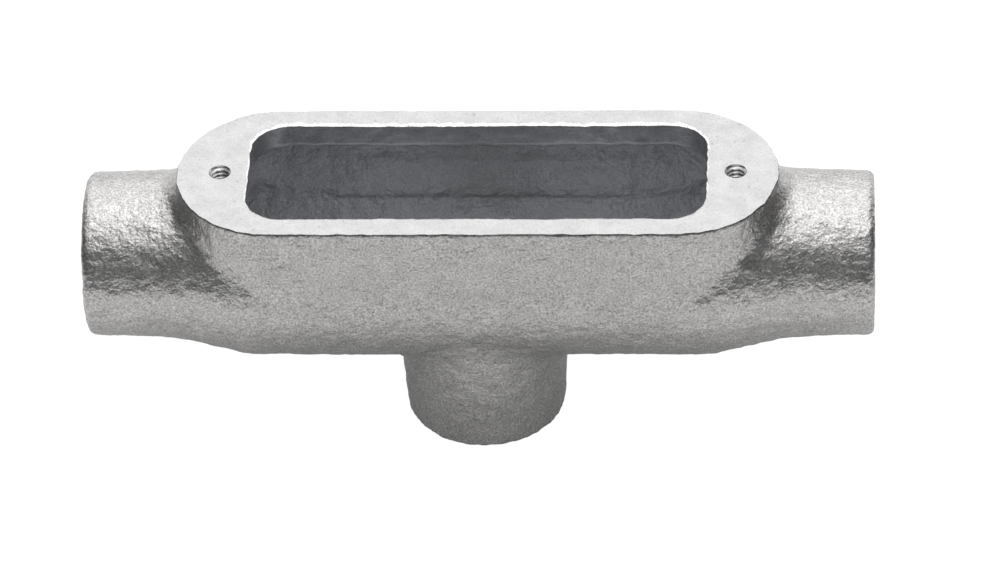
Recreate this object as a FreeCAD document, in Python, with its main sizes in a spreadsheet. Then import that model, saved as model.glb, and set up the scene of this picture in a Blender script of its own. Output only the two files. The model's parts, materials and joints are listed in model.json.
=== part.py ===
import FreeCAD, Part
import math
import os
import Sketcher
from FreeCAD import Placement, Rotation, Vector

# A tee conduit body of the half-inch trade size: a malleable-iron casting in one piece.
# Two threaded hubs lie on the run (X), a third stands on the branch (-Z), and a flat, ground
# cover seat with a long opening faces up (+Z). The body stands on the mouth of its branch hub,
# and the origin is the centre of that mouth. All sizes are in millimetres, angles in degrees.

NODE = "conduit_body"

SIZES = [
    ("seat_length", "99.1", "cover seat, tip to tip of its round ends"),
    ("seat_width", "33", "cover seat, across"),
    ("seat_draft", "0.9", "draft of the walls under the seat"),
    ("seat_blend", "4", "hollow round where the walls under the seat meet the run"),
    ("run_axis_depth", "17.2", "cover seat down to the axis of the run"),
    ("underside_flare", "0.4", "half-round underside, wider than the seat on each side"),
    ("hub_reach", "15.75", "tip of the seat to the mouth of a run hub"),
    ("hub_mouth_diameter", "27.2", "run hub, outside, at its mouth"),
    ("hub_root_diameter", "28.1", "run hub, outside, at its root"),
    ("hub_root_setback", "0.95", "tip of the seat to the root of the run hub"),
    ("shoulder_length", "12", "root of the run hub back to the full width of the body"),
    ("shoulder_fold", "12", "round where the body turns down towards the hub"),
    ("shoulder_hollow", "22", "round where the shoulder runs into the hub"),
    ("hub_edge_break", "0.6", "chamfer on the outer edge of each hub's mouth"),
    ("branch_reach", "14.6", "underside of the body to the mouth of the branch hub"),
    ("branch_mouth_diameter", "26.8", "branch hub, outside, at its mouth"),
    ("branch_draft", "2.75", "draft of the branch hub"),
    ("branch_blend", "1.5", "slope that eases the branch hub into the body"),
    ("wall", "2.6", "side walls and floor of the wiring chamber"),
    ("end_wall", "2.8", "end walls of the chamber, under the tips of the seat"),
    ("floor_taper", "9.8", "inner face of a bushing ring back to the full width of the chamber"),
    ("side_lip", "4.2", "width of the cover seat along the sides of the opening"),
    ("end_lip", "11.7", "length of the cover seat at the ends of the opening"),
    ("lip_depth", "4.6", "thickness of the lip round the opening"),
    ("opening_corner", "6", "corner radius of the opening"),
    ("drill_diameter", "18.4", "bore of a hub before it is threaded"),
    ("thread_depth", "14", "mouth of a hub to the shoulder that stops the conduit"),
    ("mouth_chamfer", "1.5", "lead-in at the mouth of each bore"),
    ("throat_diameter", "15.8", "smooth bushing ring between bore and chamber"),
    ("throat_setback", "0.55", "end of the chamber to the inner face of a run hub's bushing ring"),
    ("screw_inset", "7.05", "tip of the seat to the centre of a cover screw"),
    ("screw_drill_diameter", "2.7", "cover screw hole before it is threaded"),
    ("boss_depth", "8.5", "cover seat to the underside of a screw boss"),
    ("boss_setback", "0.25", "end of the opening to the side of a screw boss"),
]

# Places that follow from the sizes: heights over the branch mouth, reaches from the middle,
# distances from the run axis, and the slopes of the shoulder and of the run hub.
PLACES = [
    ("middle", "0"),
    ("seat_radius", "=Sizes.seat_width / 2"),
    ("body_radius", "=seat_radius + Sizes.underside_flare"),
    ("run_axis", "=Sizes.branch_reach + body_radius"),
    ("seat_top", "=run_axis + Sizes.run_axis_depth"),
    ("lip_under", "=seat_top - Sizes.lip_depth"),
    ("seat_tip", "=Sizes.seat_length / 2"),
    ("seat_centre", "=seat_tip - seat_radius"),
    ("run_mouth", "=seat_tip + Sizes.hub_reach"),
    ("hub_root", "=seat_tip + Sizes.hub_root_setback"),
    ("shoulder_start", "=hub_root - Sizes.shoulder_length"),
    ("mouth_radius", "=Sizes.hub_mouth_diameter / 2"),
    ("root_radius", "=Sizes.hub_root_diameter / 2"),
    ("shoulder_slope", "=atan((body_radius - root_radius) / Sizes.shoulder_length)"),
    ("hub_slope", "=atan((root_radius - mouth_radius) / (run_mouth - hub_root))"),
    ("fold_setback", "=Sizes.shoulder_fold * tan(shoulder_slope / 2)"),
    ("fold_start", "=shoulder_start - fold_setback"),
    ("fold_centre", "=body_radius - Sizes.shoulder_fold"),
    ("fold_end", "=shoulder_start + fold_setback * cos(shoulder_slope)"),
    ("fold_end_radius", "=body_radius - fold_setback * sin(shoulder_slope)"),
    ("hollow_setback", "=Sizes.shoulder_hollow * tan((shoulder_slope - hub_slope) / 2)"),
    ("hollow_start", "=hub_root - hollow_setback * cos(shoulder_slope)"),
    ("hollow_start_radius", "=root_radius + hollow_setback * sin(shoulder_slope)"),
    ("hollow_end", "=hub_root + hollow_setback * cos(hub_slope)"),
    ("hollow_end_radius", "=root_radius - hollow_setback * sin(hub_slope)"),
    ("hollow_centre", "=hollow_end + Sizes.shoulder_hollow * sin(hub_slope)"),
    ("hollow_centre_radius", "=hollow_end_radius + Sizes.shoulder_hollow * cos(hub_slope)"),
    ("chamber_radius", "=body_radius - Sizes.wall"),
    ("chamber_top_radius", "=seat_radius - Sizes.wall"),
    ("chamber_end", "=seat_tip - Sizes.end_wall"),
    ("chamber_centre", "=chamber_end - chamber_top_radius"),
    ("bore_stop", "=run_mouth - Sizes.thread_depth"),
    ("branch_stop", "=Sizes.thread_depth"),
    ("throat_start", "=chamber_end + Sizes.throat_setback"),
    ("floor_end", "=throat_start - Sizes.floor_taper"),
    ("drill_radius", "=Sizes.drill_diameter / 2"),
    ("throat_radius", "=Sizes.throat_diameter / 2"),
    ("opening_end", "=seat_tip - Sizes.end_lip"),
    ("opening_side", "=seat_radius - Sizes.side_lip"),
    ("corner_reach", "=opening_end - Sizes.opening_corner"),
    ("corner_side", "=opening_side - Sizes.opening_corner"),
    ("screw_reach", "=seat_tip - Sizes.screw_inset"),
    ("boss_radius", "=screw_reach - opening_end - Sizes.boss_setback"),
]

NEAR = 0.01
ENDS = (1, -1)
CENTRE = "centre"

doc = FreeCAD.newDocument("TeeConduitBody")


def fill_sheet(name, rows):
    """Make a sheet with one named cell for each row."""
    sheet = doc.addObject("Spreadsheet::Sheet", name)
    for line, row in enumerate(rows, start=1):
        sheet.set(f"B{line}", row[1])
        sheet.setAlias(f"B{line}", row[0])
        sheet.set(f"A{line}", row[-1] if len(row) > 2 else row[0])
    doc.recompute()
    return sheet


sizes = fill_sheet("Sizes", SIZES)
places = fill_sheet("Places", PLACES)

body = doc.addObject("PartDesign::Body", "ConduitBody")
body.Label = NODE


def origin_part(role):
    """Find one of the body's own origin planes or axes."""
    return next(part for part in body.Origin.OriginFeatures if part.Role == role)


def new_sketch(name, plane, height=None):
    """Start a sketch on an origin plane, raised along the plane's normal where a height is given."""
    sketch = body.newObject("Sketcher::SketchObject", name)
    sketch.AttachmentSupport = [(origin_part(plane), "")]
    sketch.MapMode = "FlatFace"
    if height:
        sketch.setExpression("AttachmentOffset.Base.z", height)
    return sketch


def pin(sketch, direction, geometry, point, formula):
    """Hold one point of a sketch at a distance, given by a formula, from the sketch's origin."""
    start = sketch.getPoint(geometry, point)
    distance = start.x if direction == "DistanceX" else start.y
    number = sketch.addConstraint(Sketcher.Constraint(direction, -1, 1, geometry, point, distance))
    sketch.setExpression(f"Constraints[{number}]", formula)


def read_place(name):
    """Look up a place by its name; a leading minus mirrors it."""
    return -getattr(places, name[1:]) if name[0] == "-" else getattr(places, name)


def find_spot(stop):
    """Find the point that a stop of an outline names."""
    return Vector(read_place(stop[0]), read_place(stop[1]), 0)


def write_formula(name):
    """Turn the name of a place into a formula; a leading minus mirrors it."""
    return f"-Places.{name[1:]}" if name[0] == "-" else f"Places.{name}"


def draw_edge(sketch, start, finish, centre):
    """Draw one edge of an outline, and tell which of its points are its start and its finish."""
    if centre is None:
        sketch.addGeometry(Part.LineSegment(start, finish))
        return 1, 2
    backwards = (start - centre).cross(finish - centre).z < -NEAR
    if backwards:
        start, finish = finish, start
    spoke = start - centre
    sweep = math.degrees(spoke.getAngle(finish - centre))
    halfway = centre + Rotation(Vector(0, 0, 1), sweep / 2).multVec(spoke)
    sketch.addGeometry(Part.ArcOfCircle(start, halfway, finish))
    return (2, 1) if backwards else (1, 2)


def draw_outline(sketch, stops):
    """Draw a closed outline; a stop marked CENTRE is the centre of the arc between its neighbours."""
    corners = [stop for stop in stops if CENTRE not in stop]
    centres = [stops[stops.index(corner) + 1 - len(stops)] for corner in corners]
    ends = []
    for edge, corner in enumerate(corners):
        following = corners[(edge + 1) % len(corners)]
        centre = find_spot(centres[edge]) if CENTRE in centres[edge] else None
        ends.append(draw_edge(sketch, find_spot(corner), find_spot(following), centre))
    for edge, (across, up) in enumerate(corners):
        following = (edge + 1) % len(corners)
        joint = edge, ends[edge][1], following, ends[following][0]
        sketch.addConstraint(Sketcher.Constraint("Coincident", *joint))
        pin(sketch, "DistanceX", edge, ends[edge][0], write_formula(across))
        pin(sketch, "DistanceY", edge, ends[edge][0], write_formula(up))
        if CENTRE in centres[edge]:
            pin(sketch, "DistanceX", edge, 3, write_formula(centres[edge][0]))


def draw_slot(sketch, centre, radius):
    """Draw a slot along X: two straight sides and two half-round ends."""
    stops = [(centre, f"-{radius}"), (centre, "middle", CENTRE), (centre, radius)]
    draw_outline(sketch, both_ends(stops))


def draw_circle(sketch, reach, radius):
    """Draw a circle centred on the X axis at a reach from the origin."""
    circle = sketch.addGeometry(Part.Circle(Vector(1, 0, 0), Vector(0, 0, 1), 1))
    pin(sketch, "DistanceX", circle, 3, reach)
    sketch.addConstraint(Sketcher.Constraint("PointOnObject", circle, 3, -1))
    number = sketch.addConstraint(Sketcher.Constraint("Radius", circle, 1.0))
    sketch.setExpression(f"Constraints[{number}]", radius)


def both_ends(stops):
    """Repeat the stops of the +X half, in mirror order, to close an outline."""
    return stops + [(f"-{across}", *rest) for across, *rest in reversed(stops)]


def turn_profile(kind, name, sketch, axis):
    """Revolve a sketch right round one of its own axes, to add or to cut."""
    feature = body.newObject(f"PartDesign::{kind}", name)
    feature.Profile = sketch
    feature.ReferenceAxis = (sketch, [axis])
    feature.Angle = 360
    doc.recompute()
    return feature


def extrude(kind, name, sketch, length, downward=False, draft=None):
    """Pad or pocket a sketch by a length given by a formula."""
    feature = body.newObject(f"PartDesign::{kind}", name)
    feature.Profile = sketch
    feature.setExpression("Length", length)
    feature.Reversed = downward
    if draft:
        feature.setExpression("TaperAngle", draft)
    doc.recompute()
    return feature


def dress_edges(kind, name, test, size):
    """Round or chamfer every edge of the body so far that passes a test."""
    base = body.Tip
    names = [f"Edge{line}" for line, edge in enumerate(base.Shape.Edges, start=1) if test(edge)]
    feature = body.newObject(f"PartDesign::{kind}", name)
    feature.Base = (base, names)
    feature.setExpression("Radius" if kind == "Fillet" else "Size", size)
    doc.recompute()
    return feature


def is_ring(edge, radius, reach):
    """Tell whether an edge is a circle about the run axis at a reach from the middle."""
    if not isinstance(edge.Curve, Part.Circle):
        return False
    centre = edge.Curve.Center
    level = abs(centre.z - places.run_axis) < NEAR
    return level and abs(abs(centre.x) - reach) < NEAR and abs(edge.Curve.Radius - radius) < NEAR


def is_branch_ring(edge, radius, height):
    """Tell whether an edge is a circle about the branch axis at a height over its mouth."""
    if not isinstance(edge.Curve, Part.Circle):
        return False
    centre = edge.Curve.Center
    middle = abs(centre.x) < NEAR and abs(centre.z - height) < NEAR
    return middle and abs(edge.Curve.Radius - radius) < NEAR


def lies_within(edge, reach, bottom, top):
    """Tell whether an edge lies wholly inside a reach and between two heights."""
    box = edge.BoundBox
    return max(-box.XMin, box.XMax) < reach and bottom + NEAR < box.ZMin and box.ZMax < top - NEAR


def make_run():
    """Turn the round underside, the shoulders and the two run hubs about the run axis."""
    sketch = new_sketch("RunOutline", "XY_Plane", "Places.run_axis")
    stops = [
        ("fold_start", "body_radius"),
        ("fold_start", "fold_centre", CENTRE),
        ("fold_end", "fold_end_radius"),
        ("hollow_start", "hollow_start_radius"),
        ("hollow_centre", "hollow_centre_radius", CENTRE),
        ("hollow_end", "hollow_end_radius"),
        ("run_mouth", "mouth_radius"),
        ("run_mouth", "middle"),
    ]
    draw_outline(sketch, both_ends(stops))
    turn_profile("Revolution", "Run", sketch, "H_Axis")


def make_seat():
    """Raise the drafted walls that carry the flat cover seat, and blend them into the run."""
    sketch = new_sketch("SeatOutline", "XY_Plane", "Places.seat_top")
    draw_slot(sketch, "seat_centre", "seat_radius")
    extrude("Pad", "SeatWalls", sketch, "Sizes.run_axis_depth", downward=True, draft="Sizes.seat_draft")
    bounds = places.hub_root, places.run_axis, places.seat_top
    dress_edges("Fillet", "SeatBlend", lambda edge: lies_within(edge, *bounds), "Sizes.seat_blend")


def make_branch():
    """Stand the branch hub under the middle of the body."""
    sketch = new_sketch("BranchOutline", "XY_Plane")
    draw_circle(sketch, "0", "Sizes.branch_mouth_diameter / 2")
    extrude("Pad", "Branch", sketch, "Places.run_axis", draft="Sizes.branch_draft")
    bounds = places.body_radius, 0, places.run_axis
    dress_edges("Chamfer", "BranchBlend", lambda edge: lies_within(edge, *bounds), "Sizes.branch_blend")


def break_hub_edges():
    """Break the outer edge of each hub's mouth."""
    reach, radius = places.run_mouth, places.mouth_radius
    branch_radius = sizes.branch_mouth_diameter / 2

    def is_outer_rim(edge):
        """Tell whether an edge is the outer rim of a hub's mouth."""
        return is_ring(edge, radius, reach) or is_branch_ring(edge, branch_radius, 0)

    dress_edges("Chamfer", "HubEdges", is_outer_rim, "Sizes.hub_edge_break")


def cut_run():
    """Cut the bores, the bushing rings and the round floor of the chamber along the run."""
    sketch = new_sketch("RunCore", "XY_Plane", "Places.run_axis")
    stops = [
        ("floor_end", "chamber_radius"),
        ("throat_start", "throat_radius"),
        ("bore_stop", "throat_radius"),
        ("bore_stop", "drill_radius"),
        ("run_mouth", "drill_radius"),
        ("run_mouth", "middle"),
    ]
    draw_outline(sketch, both_ends(stops))
    turn_profile("Groove", "RunHollow", sketch, "H_Axis")


def cut_branch():
    """Cut the branch bore and its bushing ring through to the chamber floor."""
    sketch = new_sketch("BranchCore", "XZ_Plane")
    stops = [
        ("middle", "middle"),
        ("drill_radius", "middle"),
        ("drill_radius", "branch_stop"),
        ("throat_radius", "branch_stop"),
        ("throat_radius", "run_axis"),
        ("middle", "run_axis"),
    ]
    draw_outline(sketch, stops)
    turn_profile("Groove", "BranchHollow", sketch, "V_Axis")


def cut_chamber():
    """Widen the round hollow above the run axis, and level the lip over it."""
    sketch = new_sketch("ChamberOutline", "XY_Plane", "Places.lip_under")
    draw_slot(sketch, "chamber_centre", "chamber_top_radius")
    extrude("Pocket", "Chamber", sketch, "Places.lip_under - Places.run_axis", draft="Sizes.seat_draft")
    extrude("Pad", "Lip", sketch, "Sizes.lip_depth")


def cut_opening():
    """Open the seat over the chamber."""
    sketch = new_sketch("OpeningOutline", "XY_Plane", "Places.seat_top")
    stops = [
        ("corner_reach", "-opening_side"),
        ("corner_reach", "-corner_side", CENTRE),
        ("opening_end", "-corner_side"),
        ("opening_end", "corner_side"),
        ("corner_reach", "corner_side", CENTRE),
        ("corner_reach", "opening_side"),
    ]
    draw_outline(sketch, both_ends(stops))
    extrude("Pocket", "Opening", sketch, "Sizes.lip_depth")


def add_screw_bosses():
    """Hang a round boss under the lip at each end and drill it for a cover screw."""
    sketch = new_sketch("BossOutlines", "XY_Plane", "Places.lip_under")
    for end in ENDS:
        draw_circle(sketch, f"{end} * Places.screw_reach", "Places.boss_radius")
    extrude("Pad", "ScrewBosses", sketch, "Sizes.boss_depth - Sizes.lip_depth", downward=True)
    sketch = new_sketch("ScrewHoleCentres", "XY_Plane", "Places.seat_top")
    for end in ENDS:
        draw_circle(sketch, f"{end} * Places.screw_reach", "Sizes.screw_drill_diameter / 2")
    extrude("Pocket", "ScrewHoles", sketch, "Sizes.boss_depth")


def chamfer_mouths():
    """Lead each bore in with a chamfer at its mouth."""
    reach, radius = places.run_mouth, places.drill_radius

    def is_mouth(edge):
        """Tell whether an edge is the rim of a bore at its mouth."""
        return is_ring(edge, radius, reach) or is_branch_ring(edge, radius, 0)

    dress_edges("Chamfer", "MouthChamfers", is_mouth, "Sizes.mouth_chamfer")


def check_document():
    """Stop before anything is written if a feature failed or the solid is unsound."""
    for item in doc.Objects:
        if "Invalid" in item.State or "Error" in item.State:
            raise RuntimeError(f"{item.Name} failed")
    if body.Shape.isNull() or not body.Shape.isValid() or len(body.Shape.Solids) != 1:
        raise RuntimeError(f"{body.Label} isn't one sound solid")


make_run()
make_seat()
make_branch()
break_hub_edges()
cut_run()
cut_branch()
cut_chamber()
cut_opening()
add_screw_bosses()
chamfer_mouths()
body.Placement = Placement()
doc.recompute()
check_document()

os.makedirs("parts", exist_ok=True)
body.Shape.exportStep(f"parts/{body.Label}.step")
print(f"{body.Label}: {body.Shape.Volume / 1000:.2f} cubic cm of metal")
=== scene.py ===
import json
import math

import bmesh
import bpy
import numpy as np
from mathutils import Matrix, Vector, noise


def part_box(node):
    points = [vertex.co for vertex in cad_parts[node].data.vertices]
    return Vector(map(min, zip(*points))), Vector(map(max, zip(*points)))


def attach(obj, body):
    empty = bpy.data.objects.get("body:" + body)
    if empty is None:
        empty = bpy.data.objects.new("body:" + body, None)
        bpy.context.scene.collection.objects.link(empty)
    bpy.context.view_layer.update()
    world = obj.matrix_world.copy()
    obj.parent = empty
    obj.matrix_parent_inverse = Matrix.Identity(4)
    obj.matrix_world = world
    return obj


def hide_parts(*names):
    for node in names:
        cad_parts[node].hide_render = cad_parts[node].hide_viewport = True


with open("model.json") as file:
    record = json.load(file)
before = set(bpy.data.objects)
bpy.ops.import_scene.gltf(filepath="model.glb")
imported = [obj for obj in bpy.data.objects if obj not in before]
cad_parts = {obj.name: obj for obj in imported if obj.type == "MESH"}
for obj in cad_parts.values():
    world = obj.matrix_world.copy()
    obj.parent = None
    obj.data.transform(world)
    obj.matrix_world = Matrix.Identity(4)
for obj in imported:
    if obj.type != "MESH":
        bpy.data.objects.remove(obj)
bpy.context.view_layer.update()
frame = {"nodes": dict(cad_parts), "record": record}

# ---------------------------------------------------------------- sizes
# A half-inch tee conduit body, cast in one piece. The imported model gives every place; the sizes
# below are those of the finishes and of the standard threads, in metres.

MM = 0.001
NODE = "conduit_body"
LOW, HIGH = (Vector(corner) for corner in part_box(NODE))
MOUNTS = {mount["name"]: mount for mount in frame["record"]["mounts"]}
SEAT_TOP = HIGH.z
RUN_MOUTH = HIGH.x
RUN_AXIS = MOUNTS["run_hub_right"]["pos_m"][2]
BORE_RADIUS = MOUNTS["run_hub_right"]["dims"]["r_mm"] * MM
SCREW_REACH = MOUNTS["cover_screws"]["dims"]["spacing_x_mm"] * MM / 2
SCREW_RADIUS = MOUNTS["cover_screws"]["dims"]["hole_r_mm"] * MM
THREAD_DEPTH = 14 * MM
LIP_DEPTH = 4.6 * MM
BODY_RADIUS, BRANCH_RADIUS = 17.1 * MM, 13.9 * MM
OPENING_END, OPENING_SIDE = 37.85 * MM, 12.3 * MM

# ---------------------------------------------------------------- casting stock
# The casting as it leaves the mould: one skin with softened edges, still with spare metal over the
# cover seat and in the holes, because the seat is ground and the holes are tapped afterwards.

STOCK = 1.5 * MM
VOXEL = 0.68 * MM
CORE_RADIUS = 8.2 * MM
NEAR_BORE = BORE_RADIUS + 1.6 * MM
CORNER_SPREAD, CORNER_REACH = 3.2 * MM, 3 * MM
CORNER_PASSES = 60


def read_points(mesh):
    """Read a mesh's points into an array, one row each."""
    points = np.empty(len(mesh.vertices) * 3)
    mesh.vertices.foreach_get("co", points)
    return points.reshape(-1, 3)


def write_points(mesh, points):
    """Write an array of points back into a mesh."""
    mesh.vertices.foreach_set("co", points.ravel())
    mesh.update()


def make_object(name, mesh):
    """Put a mesh into the scene as an object at the origin."""
    piece = bpy.data.objects.new(name, mesh)
    bpy.context.scene.collection.objects.link(piece)
    return piece


def apply_modifiers(piece):
    """Turn an object's modifiers into its mesh."""
    graph = bpy.context.evaluated_depsgraph_get()
    mesh = bpy.data.meshes.new_from_object(piece.evaluated_get(graph))
    piece.modifiers.clear()
    piece.data = mesh


def ease_branch_corner(mesh):
    """Widen the hollow corner between the branch hub and the underside of the body."""
    work = bmesh.new()
    work.from_mesh(mesh)
    corner = [
        point for point in work.verts
        if abs(point.co.xy.length - BRANCH_RADIUS) < CORNER_SPREAD
        and abs(math.hypot(point.co.y, point.co.z - RUN_AXIS) - BODY_RADIUS) < CORNER_REACH
        and point.co.z < RUN_AXIS - 8 * MM
    ]
    for _ in range(CORNER_PASSES):
        bmesh.ops.smooth_vert(
            work, verts=corner, factor=0.5, use_axis_x=True, use_axis_y=True, use_axis_z=True)
    work.to_mesh(mesh)
    work.free()


def leave_stock(points):
    """Raise the cover seat and narrow the bores, as before machining."""
    seat = points[:, 2] > SEAT_TOP - 0.01 * MM
    points[seat, 2] += STOCK
    away = np.hypot(points[:, 1], points[:, 2] - RUN_AXIS)
    in_bore = np.abs(points[:, 0]) > RUN_MOUTH - THREAD_DEPTH - 0.01 * MM
    in_bore &= away < NEAR_BORE
    in_bore &= away > BORE_RADIUS - 0.1 * MM
    shrink = CORE_RADIUS / away[in_bore]
    points[in_bore, 1] *= shrink
    points[in_bore, 2] = RUN_AXIS + (points[in_bore, 2] - RUN_AXIS) * shrink
    away = np.hypot(points[:, 0], points[:, 1])
    in_bore = (points[:, 2] < THREAD_DEPTH + 0.01 * MM) & (away < NEAR_BORE)
    in_bore &= away > BORE_RADIUS - 0.1 * MM
    points[in_bore, :2] *= (CORE_RADIUS / away[in_bore])[:, None]


def fill_screw_holes(work):
    """Close the screw holes, so that they are drilled and tapped cleanly afterwards."""
    for end in (1, -1):
        centre = Vector((end * SCREW_REACH, 0))
        walls = [
            point for point in work.verts
            if (point.co.xy - centre).length < SCREW_RADIUS + 0.05 * MM and point.co.z > RUN_AXIS
        ]
        bmesh.ops.delete(work, geom=walls, context="VERTS")
    open_edges = [edge for edge in work.edges if edge.is_boundary]
    bmesh.ops.holes_fill(work, edges=open_edges, sides=0)


stock_mesh = frame["nodes"][NODE].data.copy()
work = bmesh.new()
work.from_mesh(stock_mesh)
bmesh.ops.remove_doubles(work, verts=work.verts, dist=0.002 * MM)
fill_screw_holes(work)
work.to_mesh(stock_mesh)
work.free()
points = read_points(stock_mesh)
leave_stock(points)
write_points(stock_mesh, points)
pattern = make_object("pattern", stock_mesh)
casting = make_object("casting", stock_mesh.copy())
remesh = casting.modifiers.new("Remesh", "REMESH")
remesh.mode = "VOXEL"
remesh.voxel_size = VOXEL
smooth = casting.modifiers.new("Smooth", "SMOOTH")
smooth.factor = 0.5
smooth.iterations = 4
wrap = casting.modifiers.new("Wrap", "SHRINKWRAP")
wrap.target = pattern
wrap.wrap_method = "NEAREST_SURFACEPOINT"
soften = casting.modifiers.new("Soften", "SMOOTH")
soften.factor = 0.5
soften.iterations = 1
apply_modifiers(casting)
ease_branch_corner(casting.data)
bpy.data.objects.remove(pattern)

# ---------------------------------------------------------------- sand-cast skin
# The skin is pebbly, like orange peel: shallow bumps of one to two millimetres, a slight wave from
# hand dressing over them, and edges that are nowhere quite straight.

PEBBLE = 0.16 * MM
WAVE = 0.12 * MM
PANEL = 0.16 * MM
PANEL_REACH = 25 * MM
PANEL_TOP, PANEL_FOOT = SEAT_TOP - 8.2 * MM, SEAT_TOP - 16.4 * MM


def is_on_panel(point):
    """Tell whether a point lies on the bare raised panel of the chamber's far wall."""
    on_wall = 13 * MM < point[1] < 14.8 * MM and abs(point[0]) < PANEL_REACH
    return on_wall and PANEL_FOOT < point[2] < PANEL_TOP


def roughen(mesh):
    """Push every point along its normal by the skin's height there, but leave the mouths flat."""
    count = len(mesh.vertices)
    points = read_points(mesh)
    normals = np.empty(count * 3)
    mesh.vertices.foreach_get("normal", normals)
    normals = normals.reshape(-1, 3)
    heights = np.empty(count)
    for place, point in enumerate(points):
        spot = Vector(point) / MM
        pebbles = noise.noise(spot * 0.55) + 0.6 * noise.noise(spot * 1.05 + Vector((7, 3, 5)))
        heights[place] = PEBBLE * pebbles + WAVE * noise.noise(spot * 0.11)
        if is_on_panel(point):
            heights[place] += PANEL
    points += normals * heights[:, None]
    points[:, 0] = np.clip(points[:, 0], -RUN_MOUTH, RUN_MOUTH)
    points[:, 2] = np.maximum(points[:, 2], LOW.z)
    write_points(mesh, points)


roughen(casting.data)

# ---------------------------------------------------------------- ground seat
# The cover seat is ground flat after casting. What is left of the round cast corner, and the burr
# that the wheel rolls over the opening, make a thin ragged edge all round.

EDGE_DROP = 0.3 * MM
EDGE_INSET = 0.13 * MM
BURR_DROP = 0.1 * MM
BURR_INSET = 0.75 * MM
BURR_RAGGED = 0.12 * MM


def is_by_opening(point):
    """Tell whether a point of the seat lies by the opening and not by the outer edge."""
    return abs(point.x) < OPENING_END + 2 * MM and abs(point.y) < OPENING_SIDE + 2 * MM


def find_way_out(point):
    """Find the level direction that leads out of the metal at a point of the wall."""
    way = point.normal.copy()
    way.z = 0
    return way.normalized()


def roll_burr(point, way):
    """Raise a point of the opening's rim almost to the seat and make the rim ragged there."""
    point.co.z = SEAT_TOP - BURR_DROP
    point.co += way * BURR_RAGGED * noise.noise(point.co / MM * 1.3)


def grind_seat(mesh):
    """Cut the stock off the cover seat in one flat plane, leaving a thin ragged edge round it."""
    work = bmesh.new()
    work.from_mesh(mesh)
    parts = [*work.verts, *work.edges, *work.faces]
    cut = bmesh.ops.bisect_plane(
        work, geom=parts, plane_co=(0, 0, SEAT_TOP - EDGE_DROP), plane_no=(0, 0, 1),
        clear_outer=True)
    rim = [part for part in cut["geom_cut"] if isinstance(part, bmesh.types.BMEdge)]
    rim_points = {point for edge in rim for point in edge.verts}
    work.normal_update()
    ways = {point.co.to_tuple(7): find_way_out(point) for point in rim_points}
    raised = bmesh.ops.extrude_edge_only(work, edges=rim)["geom"]
    for point in [part for part in raised if isinstance(part, bmesh.types.BMVert)]:
        way = ways[point.co.to_tuple(7)]
        ragged = 1 + 0.7 * noise.noise(point.co / MM * 1.1) + 0.4 * noise.noise(point.co / MM * 0.4)
        inset = EDGE_INSET
        if is_by_opening(point.co):
            inset = BURR_INSET * (0.3 + 0.7 * max(-way.y, 0))
        point.co -= way * inset * max(ragged, 0.1)
        point.co.z = SEAT_TOP
    for point in rim_points:
        if is_by_opening(point.co):
            roll_burr(point, ways[point.co.to_tuple(7)])
    top = [part for part in raised if isinstance(part, bmesh.types.BMEdge)]
    bmesh.ops.triangle_fill(work, edges=top, use_beauty=True, use_dissolve=False, normal=(0, 0, 1))
    bmesh.ops.recalc_face_normals(work, faces=work.faces)
    work.to_mesh(mesh)
    work.free()


grind_seat(casting.data)

# ---------------------------------------------------------------- tapped holes
# Each hub is tapped with a tapered pipe thread of 14 turns to the inch, led in by a chamfer, and
# each end of the seat with a machine-screw thread of 32 turns to the inch.


def make_tap(name, place, axis, thread):
    """Make a solid the shape of a tapped hole: a core with a helical ridge and a flared mouth."""
    sides, rows = thread["sides"], thread["rows"]
    start, end = -thread["proud"], thread["depth"]
    work = bmesh.new()
    rings = []
    for row in range(rows + 1):
        depth = start + (end - start) * row / rows
        ring = []
        for side in range(sides):
            turn = side / sides
            radius = find_tap_radius(thread, depth, turn)
            angle = math.tau * turn
            ring.append(work.verts.new((radius * math.cos(angle), radius * math.sin(angle), depth)))
        rings.append(ring)
    for near, far in zip(rings, rings[1:]):
        for side in range(sides):
            following = (side + 1) % sides
            work.faces.new((near[side], near[following], far[following], far[side]))
    work.faces.new(reversed(rings[0]))
    work.faces.new(rings[-1])
    bmesh.ops.recalc_face_normals(work, faces=work.faces)
    turn = Vector((0, 0, 1)).rotation_difference(-Vector(axis))
    work.transform(Matrix.Translation(place) @ turn.to_matrix().to_4x4())
    mesh = bpy.data.meshes.new(name)
    work.to_mesh(mesh)
    work.free()
    return make_object(name, mesh)


def find_tap_radius(thread, depth, turn):
    """Find how far a tapped hole reaches from its axis at a depth and at a share of a turn."""
    phase = (depth / thread["pitch"] + turn) % 1
    flank = min(1, max(0, abs(phase - 0.5) * 2.5 - 0.12))
    fade = min(1, max(0, (thread["depth"] - thread["blank"] - depth) / thread["pitch"]))
    crest = thread["major"] - depth * thread["taper"] - thread["height"] * flank
    radius = thread["core"] + max(0, crest - thread["core"]) * fade
    return max(radius, thread["flare"] - max(depth, 0))


PIPE_THREAD = {
    "pitch": 1.814 * MM, "major": 10.55 * MM, "height": 1.45 * MM, "core": BORE_RADIUS,
    "taper": 1 / 32, "flare": BORE_RADIUS + 1.5 * MM, "depth": THREAD_DEPTH, "blank": 1.2 * MM,
    "proud": 2 * MM, "sides": 96, "rows": 112,
}
SCREW_THREAD = {
    "pitch": 0.794 * MM, "major": 1.88 * MM, "height": 0.48 * MM, "core": SCREW_RADIUS,
    "taper": 0, "flare": SCREW_RADIUS + 0.5 * MM, "depth": 9.5 * MM, "blank": 0,
    "proud": 2 * MM, "sides": 40, "rows": 116,
}

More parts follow.
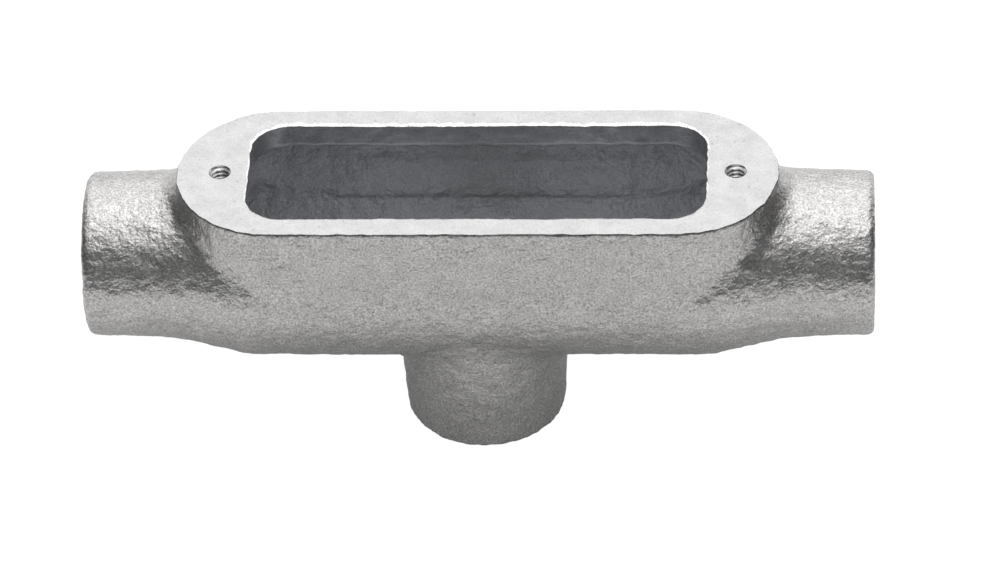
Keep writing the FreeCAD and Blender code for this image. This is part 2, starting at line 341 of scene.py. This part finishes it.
taps = [
    make_tap("tap_right", (RUN_MOUTH, 0, RUN_AXIS), (1, 0, 0), PIPE_THREAD),
    make_tap("tap_left", (-RUN_MOUTH, 0, RUN_AXIS), (-1, 0, 0), PIPE_THREAD),
    make_tap("tap_branch", (0, 0, 0), (0, 0, -1), PIPE_THREAD),
    make_tap("tap_screw_right", (SCREW_REACH, 0, SEAT_TOP), (0, 0, 1), SCREW_THREAD),
    make_tap("tap_screw_left", (-SCREW_REACH, 0, SEAT_TOP), (0, 0, 1), SCREW_THREAD),
]
for tap in taps:
    cut = casting.modifiers.new(tap.name, "BOOLEAN")
    cut.operation = "DIFFERENCE"
    cut.solver = "MANIFOLD"
    cut.object = tap
apply_modifiers(casting)
for tap in taps:
    bpy.data.objects.remove(tap)

# ---------------------------------------------------------------- finishes
# Bright zinc plate over the whole casting: pebbly and speckled on the cast skin, smoother and
# brighter on the ground seat, bare and shiny in the threads, duller grey inside the chamber.


def add_node(tree, kind, **values):
    """Add a node to a material's tree and set its properties and the values of its inputs."""
    node = tree.nodes.new(kind)
    for name, value in values.items():
        if hasattr(node, name):
            setattr(node, name, value)
        else:
            node.inputs[name].default_value = value
    return node


def add_ramp(tree, source, stops):
    """Add a colour ramp fed by a socket, with stops of position and grey level or colour."""
    ramp = tree.nodes.new("ShaderNodeValToRGB")
    elements = ramp.color_ramp.elements
    while len(elements) < len(stops):
        elements.new(0.5)
    for element, (position, shade) in zip(elements, stops):
        element.position = position
        element.color = (*shade, 1) if isinstance(shade, tuple) else (shade, shade, shade, 1)
    tree.links.new(source, ramp.inputs["Fac"])
    return ramp.outputs["Color"]


def add_noise(tree, place, size, detail=3.0, roughness=0.55):
    """Add a noise whose features are of a size given in metres."""
    node = add_node(tree, "ShaderNodeTexNoise", Scale=1 / size, Detail=detail, Roughness=roughness)
    tree.links.new(place, node.inputs["Vector"])
    return node.outputs["Fac"]


def join_nodes(tree, node, *sources):
    """Feed sockets into the first inputs of a node and give its first output."""
    for place, source in enumerate(sources):
        tree.links.new(source, node.inputs[place])
    return node.outputs[0]


def multiply_colours(tree, first, second):
    """Multiply two colours."""
    node = add_node(tree, "ShaderNodeMix", data_type="RGBA", blend_type="MULTIPLY")
    node.inputs[0].default_value = 1.0
    tree.links.new(first, node.inputs[6])
    tree.links.new(second, node.inputs[7])
    return node.outputs[2]


def make_metal(name, shade, tint, roughness, grain, speck, pebble, sand):
    """Make a plated metal of a shade and tint, with its mottling, grain, specks and bumps."""
    material = bpy.data.materials.new(name)
    material.use_nodes = True
    tree = material.node_tree
    shader = tree.nodes["Principled BSDF"]
    shader.inputs["Metallic"].default_value = 1.0
    place = add_node(tree, "ShaderNodeTexCoord").outputs["Object"]
    mottle = add_noise(tree, place, 3.5 * MM, 3.0, 0.6)
    tones = [tuple(shade * change * part for part in tint) for change in (0.93, 1.0, 1.07)]
    colour = add_ramp(tree, mottle, list(zip((0.35, 0.5, 0.65), tones)))
    grains = add_noise(tree, place, 0.32 * MM, 1.0, 0.5)
    grain_tones = add_ramp(tree, grains, [(0.3, 1 - grain), (0.7, 1 + grain)])
    colour = multiply_colours(tree, colour, grain_tones)
    # dark specks: painted shade of small pits in the skin
    pit_shade = add_noise(tree, place, 0.75 * MM, 3.0, 0.7)
    colour = multiply_colours(tree, colour, add_ramp(tree, pit_shade, [(0.28, speck), (0.40, 1.0)]))
    tree.links.new(colour, shader.inputs["Base Color"])
    shine = add_node(tree, "ShaderNodeMapRange")
    shine.inputs["To Min"].default_value, shine.inputs["To Max"].default_value = roughness
    tree.links.new(join_nodes(tree, shine, mottle), shader.inputs["Roughness"])
    coarse = add_node(tree, "ShaderNodeBump", Strength=1.0, Distance=pebble)
    tree.links.new(add_noise(tree, place, 0.9 * MM, 2.0, 0.5), coarse.inputs["Height"])
    fine = add_node(tree, "ShaderNodeBump", Strength=1.0, Distance=sand)
    tree.links.new(grains, fine.inputs["Height"])
    tree.links.new(coarse.outputs["Normal"], fine.inputs["Normal"])
    tree.links.new(fine.outputs["Normal"], shader.inputs["Normal"])
    return material


WARM, COOL, PLAIN = (1.0, 0.985, 0.975), (0.98, 0.99, 1.02), (1.0, 1.0, 1.0)
SKIN, SEAT, THREAD, CHAMBER, BURR_HIGHLIGHT, LIT_LIP, EDGE_SHADE = range(7)
CHAMBER_MIDDLE, CHAMBER_REACH = 40 * MM, 14.6 * MM
THREAD_REACH, SCREW_THREAD_REACH = 11.1 * MM, 2.1 * MM
casting.data.materials.clear()
for finish in (
    make_metal("cast_skin", 0.49, WARM, (0.34, 0.46), 0.30, 0.72, 0.22 * MM, 0.05 * MM),
    make_metal("ground_seat", 0.49, PLAIN, (0.32, 0.42), 0.08, 0.66, 0.03 * MM, 0.01 * MM),
    make_metal("cut_thread", 0.50, PLAIN, (0.26, 0.36), 0.05, 0.85, 0.0, 0.01 * MM),
    make_metal("chamber_skin", 0.48, COOL, (0.40, 0.52), 0.12, 0.72, 0.22 * MM, 0.05 * MM),
    # burr by the opening: its brighter shade of 0.66 is a painted highlight; its lower roughness is
    # the burr's own
    make_metal("burr_painted_highlight", 0.66, PLAIN, (0.26, 0.36), 0.3, 0.5, 0.1 * MM, 0.03 * MM),
    # lip band under the seat: a lighter copy of the chamber finish, painted light near the opening
    make_metal("lip_painted_light", 0.58, COOL, (0.36, 0.46), 0.08, 0.8, 0.08 * MM, 0.03 * MM),
    # outer edge strip of the seat: its dark shade of 0.24 is painted shade, the dark line along the
    # rounded edge; grain and specks make it ragged
    make_metal("edge_painted_shade", 0.24, PLAIN, (0.4, 0.5), 0.4, 0.5, 0.2 * MM, 0.06 * MM),
):
    casting.data.materials.append(finish)


def sort_faces(mesh):
    """Give each face the finish of the region it lies in; only the ground seat is shaded flat."""
    count = len(mesh.polygons)
    centres = np.empty(count * 3)
    normals = np.empty(count * 3)
    mesh.polygons.foreach_get("center", centres)
    mesh.polygons.foreach_get("normal", normals)
    across, aside, up = centres.reshape(-1, 3).T
    normals = normals.reshape(-1, 3)
    from_run = np.hypot(aside, up - RUN_AXIS)
    from_branch = np.hypot(across, aside)
    past_middle = np.sign(across) * np.maximum(np.abs(across) - CHAMBER_MIDDLE, 0)
    from_middle = np.stack([past_middle, aside, up - RUN_AXIS], axis=1)
    inward = np.einsum("ij,ij->i", normals, from_middle) < 0
    inward &= (up > RUN_AXIS - CHAMBER_REACH) | (from_branch < BORE_RADIUS - 0.2 * MM)
    finish = np.where(inward, CHAMBER, SKIN).astype(np.int32)
    # painted light: the chamber's upper band by the opening gets the lighter lip finish
    finish[inward & (up > SEAT_TOP - LIP_DEPTH)] = LIT_LIP
    by_opening = np.abs(across) < OPENING_END + 1.5 * MM
    by_opening &= np.abs(aside) < OPENING_SIDE + 1.5 * MM
    # painted highlight: the burr strip by the opening gets the brighter finish
    finish[by_opening & (up > SEAT_TOP - 0.09 * MM)] = BURR_HIGHLIGHT
    # painted shade: the thin strip round the seat's outer edge gets the dark finish
    finish[~inward & ~by_opening & (up > SEAT_TOP - 0.28 * MM)] = EDGE_SHADE
    in_bore = (np.abs(across) > RUN_MOUTH - THREAD_DEPTH - 0.1 * MM) & (from_run < THREAD_REACH)
    in_bore |= (up < THREAD_DEPTH + 0.1 * MM) & (from_branch < THREAD_REACH)
    from_screw = np.hypot(np.abs(across) - SCREW_REACH, aside)
    in_bore |= (from_screw < SCREW_THREAD_REACH) & (up < SEAT_TOP - 0.02 * MM) & (up > RUN_AXIS)
    finish[in_bore] = THREAD
    flat = (up > SEAT_TOP - 0.02 * MM) & (normals[:, 2] > 0.99)
    finish[flat] = SEAT
    mesh.polygons.foreach_set("material_index", finish)
    mesh.polygons.foreach_set("use_smooth", ~flat)
    mesh.update()


casting.data.set_sharp_from_angle(angle=math.radians(50))
sort_faces(casting.data)
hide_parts(NODE)
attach(casting, "root")

# ---------------------------------------------------------------- floor and light
# A white studio table under large, soft overhead lights, with the darker front of the room in front
# of the part.


def make_area(name, place, target, width, height, power):
    """Hang an area light, turned to face a target."""
    lamp = bpy.data.lights.new(name, "AREA")
    lamp.shape = "RECTANGLE"
    lamp.size, lamp.size_y = width, height
    lamp.energy = power
    holder = bpy.data.objects.new(name, lamp)
    bpy.context.scene.collection.objects.link(holder)
    holder.location = place
    holder.rotation_euler = (Vector(target) - Vector(place)).to_track_quat("-Z", "Y").to_euler()


def make_sheet(name, corners, material):
    """Make a flat sheet for the setting, not attached to the part."""
    mesh = bpy.data.meshes.new(name)
    mesh.from_pydata(corners, [], [tuple(range(len(corners)))])
    mesh.materials.append(material)
    make_object(name, mesh)


def make_floor_paint():
    """Make the floor's white: matt, with a painted shadow darker under the part, and plain white to
    the eye.
    """
    material = bpy.data.materials.new("floor_white")
    material.use_nodes = True
    tree = material.node_tree
    shader = tree.nodes["Principled BSDF"]
    place = add_node(tree, "ShaderNodeTexCoord").outputs["Object"]
    reach = add_node(tree, "ShaderNodeVectorMath", operation="MULTIPLY")
    reach.inputs[1].default_value = (0.55 / SHADOW_REACH, 1 / SHADOW_REACH, 0)
    join_nodes(tree, reach, place)
    span = add_node(tree, "ShaderNodeVectorMath", operation="LENGTH")
    join_nodes(tree, span, reach.outputs[0])
    # painted shadow: the floor's colour darkens towards the part, and the metal reflects it
    painted_shadow = add_ramp(tree, span.outputs["Value"], [(0.0, 0.25), (0.35, 0.3), (1.0, 0.8)])
    tree.links.new(painted_shadow, shader.inputs["Base Color"])
    shader.inputs["Roughness"].default_value = 0.9
    shader.inputs["Specular IOR Level"].default_value = 0.0
    path = add_node(tree, "ShaderNodeLightPath")
    glow = add_node(tree, "ShaderNodeEmission", Color=(1, 1, 1, 1), Strength=1.1)
    to_eye = add_node(tree, "ShaderNodeMath", operation="MULTIPLY")
    to_eye.inputs[1].default_value = 0.9
    in_gloss = add_node(tree, "ShaderNodeMath", operation="MULTIPLY")
    in_gloss.inputs[1].default_value = 0.15
    either = add_node(tree, "ShaderNodeMath", operation="MAXIMUM")
    join_nodes(tree, to_eye, path.outputs["Is Camera Ray"])
    join_nodes(tree, in_gloss, path.outputs["Is Glossy Ray"])
    join_nodes(tree, either, to_eye.outputs[0], in_gloss.outputs[0])
    mix = add_node(tree, "ShaderNodeMixShader")
    seen = join_nodes(
        tree, mix, either.outputs[0], shader.outputs["BSDF"], glow.outputs["Emission"])
    tree.links.new(seen, tree.nodes["Material Output"].inputs["Surface"])
    return material


def make_card_paint(height):
    """Make the paint of the front card: dark across its middle and paler to its top and foot."""
    material = bpy.data.materials.new("front_card")
    material.use_nodes = True
    tree = material.node_tree
    tree.nodes.clear()
    place = add_node(tree, "ShaderNodeTexCoord").outputs["Object"]
    split = add_node(tree, "ShaderNodeSeparateXYZ")
    join_nodes(tree, split, place)
    level = add_node(tree, "ShaderNodeMath", operation="DIVIDE")
    level.inputs[1].default_value = height
    join_nodes(tree, level, split.outputs["Z"])
    shade = add_ramp(tree, level.outputs[0], CARD_SHADES)
    glow = add_node(tree, "ShaderNodeEmission")
    output = add_node(tree, "ShaderNodeOutputMaterial")
    tree.links.new(join_nodes(tree, glow, shade), output.inputs["Surface"])
    return material


def bend_card(name, radius, height, half_turn):
    """Stand a curved card round the front of the part; only the metal's gloss sees it."""
    rim = []
    for step in range(-half_turn, half_turn + 1, 10):
        angle = math.radians(step - 90)
        rim.append((radius * math.cos(angle), radius * math.sin(angle)))
    points = [(x, y, level) for level in (LOW.z, height) for x, y in rim]
    count = len(rim)
    faces = [(side, side + 1, count + side + 1, count + side) for side in range(count - 1)]
    mesh = bpy.data.meshes.new(name)
    mesh.from_pydata(points, [], faces)
    mesh.materials.append(make_card_paint(height))
    card = make_object(name, mesh)
    card.visible_camera = False
    card.visible_shadow = False
    card.visible_diffuse = False


FLOOR_REACH = 1.5
# reach of the painted shadow on the floor round the part
SHADOW_REACH = 60 * MM
FLOOR_LEVEL = LOW.z - 0.05 * MM
CARD_SHADES = [(0.0, 0.18), (0.07, 0.10), (0.3, 0.08), (0.45, 0.26), (0.65, 0.8), (1.0, 1.2)]
corners = [
    (x * FLOOR_REACH, y * FLOOR_REACH, FLOOR_LEVEL) for x, y in ((-1, -1), (1, -1), (1, 1), (-1, 1))
]
make_sheet("floor", corners, make_floor_paint())
bend_card("front_card", 0.19, 0.4, 110)
make_area("overhead_back", (0, 0.62, 0.68), (0, 0, 0.03), 1.3, 0.8, 2.25)
make_area("overhead", (0, -0.15, 0.9), (0, 0, 0.03), 1.1, 1.0, 4.1)

world = bpy.data.worlds.new("studio")
bpy.context.scene.world = world
world.use_nodes = True
sky = world.node_tree
sky.nodes.clear()
backdrop = add_node(sky, "ShaderNodeBackground", Color=(1, 1, 1, 1), Strength=1.0)
fill = add_node(sky, "ShaderNodeBackground", Color=(1, 1, 1, 1), Strength=0.9)
path = add_node(sky, "ShaderNodeLightPath")
direct = add_node(sky, "ShaderNodeMath", operation="MAXIMUM")
either = add_node(sky, "ShaderNodeMath", operation="MAXIMUM")
join_nodes(sky, direct, path.outputs["Is Camera Ray"], path.outputs["Is Glossy Ray"])
join_nodes(sky, either, direct.outputs[0], path.outputs["Is Transmission Ray"])
choose = add_node(sky, "ShaderNodeMixShader")
seen = join_nodes(
    sky, choose, either.outputs[0], fill.outputs["Background"], backdrop.outputs["Background"])
sky.links.new(seen, add_node(sky, "ShaderNodeOutputWorld").inputs["Surface"])

# ---------------------------------------------------------------- camera
# A long lens in front of the part, well above it and nearly square to it, rolled slightly about
# its own axis.

ELEVATION, AZIMUTH, ROLL = math.radians(39.48), math.radians(3.98), math.radians(-2.595)
DISTANCE = 838.3 * MM
ASIDE, ABOVE = 3.177 * MM, -4.810 * MM

back = Vector((
    math.sin(AZIMUTH) * math.cos(ELEVATION),
    -math.cos(AZIMUTH) * math.cos(ELEVATION),
    math.sin(ELEVATION),
))
right = Vector((math.cos(AZIMUTH), math.sin(AZIMUTH), 0))
above = back.cross(right)
right, above = (
    right * math.cos(ROLL) + above * math.sin(ROLL),
    above * math.cos(ROLL) - right * math.sin(ROLL),
)
aim = Vector((0, 0, RUN_AXIS)) + right * ASIDE + above * ABOVE
lens = bpy.data.cameras.new("camera")
lens.lens = 181.09
lens.sensor_width = 36
lens.clip_start, lens.clip_end = 0.01, 10
camera = bpy.data.objects.new("camera", lens)
facing = Matrix((right, above, back)).transposed().to_4x4()
camera.matrix_world = Matrix.Translation(aim + back * DISTANCE) @ facing
bpy.context.scene.collection.objects.link(camera)
bpy.context.scene.camera = camera
bpy.context.scene.view_settings.view_transform = "Standard"
